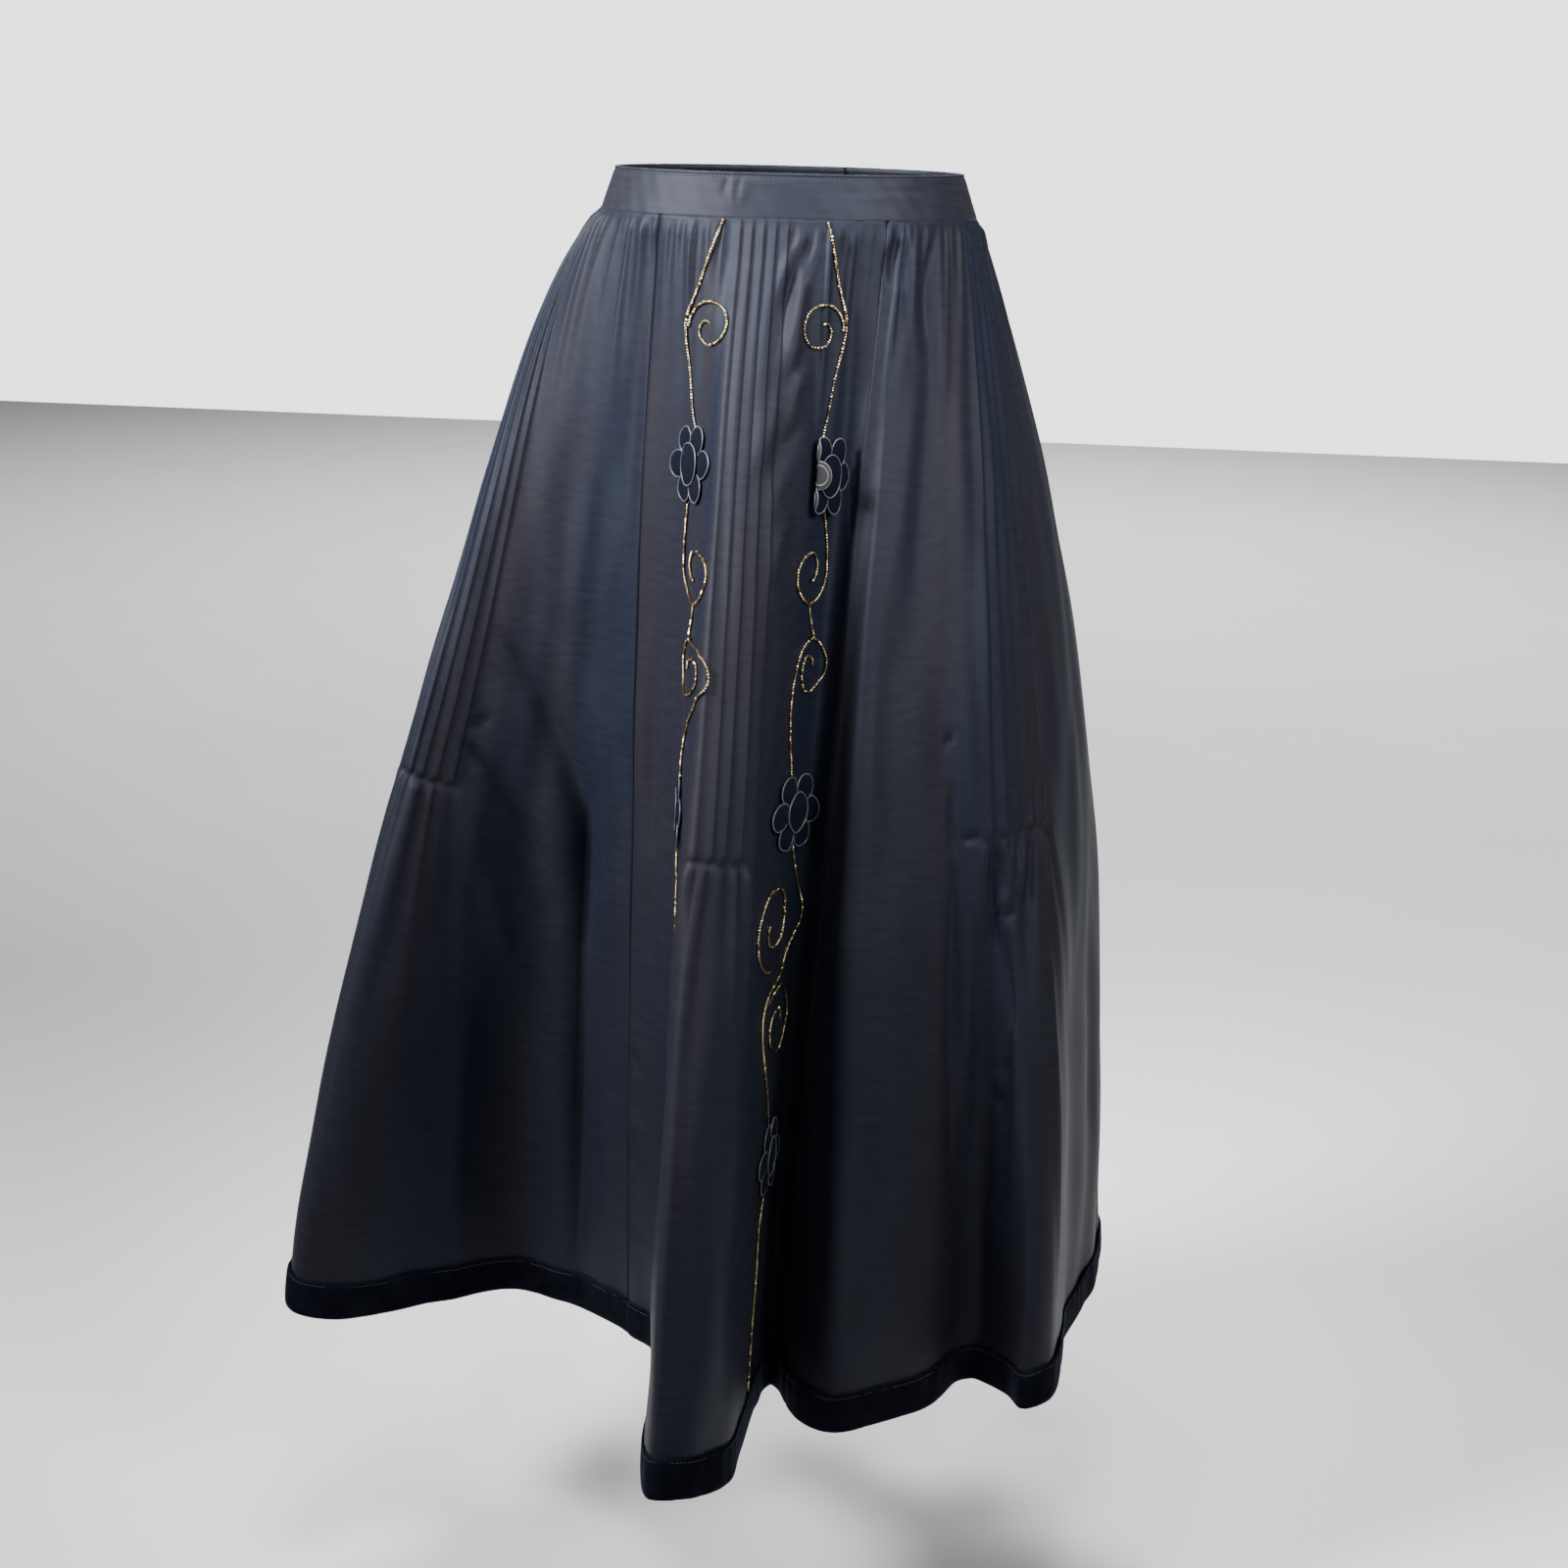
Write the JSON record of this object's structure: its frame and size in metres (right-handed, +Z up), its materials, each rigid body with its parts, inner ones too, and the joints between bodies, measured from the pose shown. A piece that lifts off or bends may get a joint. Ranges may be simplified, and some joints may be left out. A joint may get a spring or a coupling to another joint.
{
  "type": "maxi skirt",
  "caption": "Long flared skirt of dark taffeta as worn, with a narrow waistband, released pintucks, waist gathers, deep hem folds, velvet flowers and a velvet hem ribbon.",
  "frame": {"origin": "middle of the waist ring, at the seam between the waistband and the skirt", "axes": "+Z up, the front of the skirt faces -Y, +X is the wearer's left"},
  "size_m": [0.6263, 0.6473, 0.8986],
  "materials": {
    "taffeta": "crisp shot taffeta, dark navy with a grey sheen",
    "waistband_taffeta": "crisp shot taffeta, double, topstitched",
    "velvet": "short pile velvet, blue black",
    "flower_velvet": "padded short pile velvet with a satin cord edge",
    "zip_tape": "matt woven tape",
    "zip_metal": "dark enamelled metal",
    "button": "polished dark plastic"
  },
  "bodies": {
    "skirt": {"front_gore": "taffeta", "left_side_gore": "taffeta", "left_back_gore": "taffeta", "right_back_gore": "taffeta", "right_side_gore": "taffeta", "waistband": "waistband_taffeta", "hem_ribbon": "velvet", "flower_left_upper": "flower_velvet", "flower_left_middle": "flower_velvet", "flower_left_lower": "flower_velvet", "flower_right_upper": "flower_velvet", "flower_right_middle": "flower_velvet", "flower_right_lower": "flower_velvet", "zip_tape": "zip_tape", "zip_slider": "zip_metal", "waist_button": "button"},
    "zip_pull_tab": {"zip_pull": "zip_metal"}
  },
  "joints": [
    {"name": "zip_pull_turn", "type": "hinge", "parent": "skirt", "child": "zip_pull_tab", "pos_m": [0, 0.11269, -0.01053], "axis": [1, 0, 0], "range_deg": [0, 160]}
  ]
}
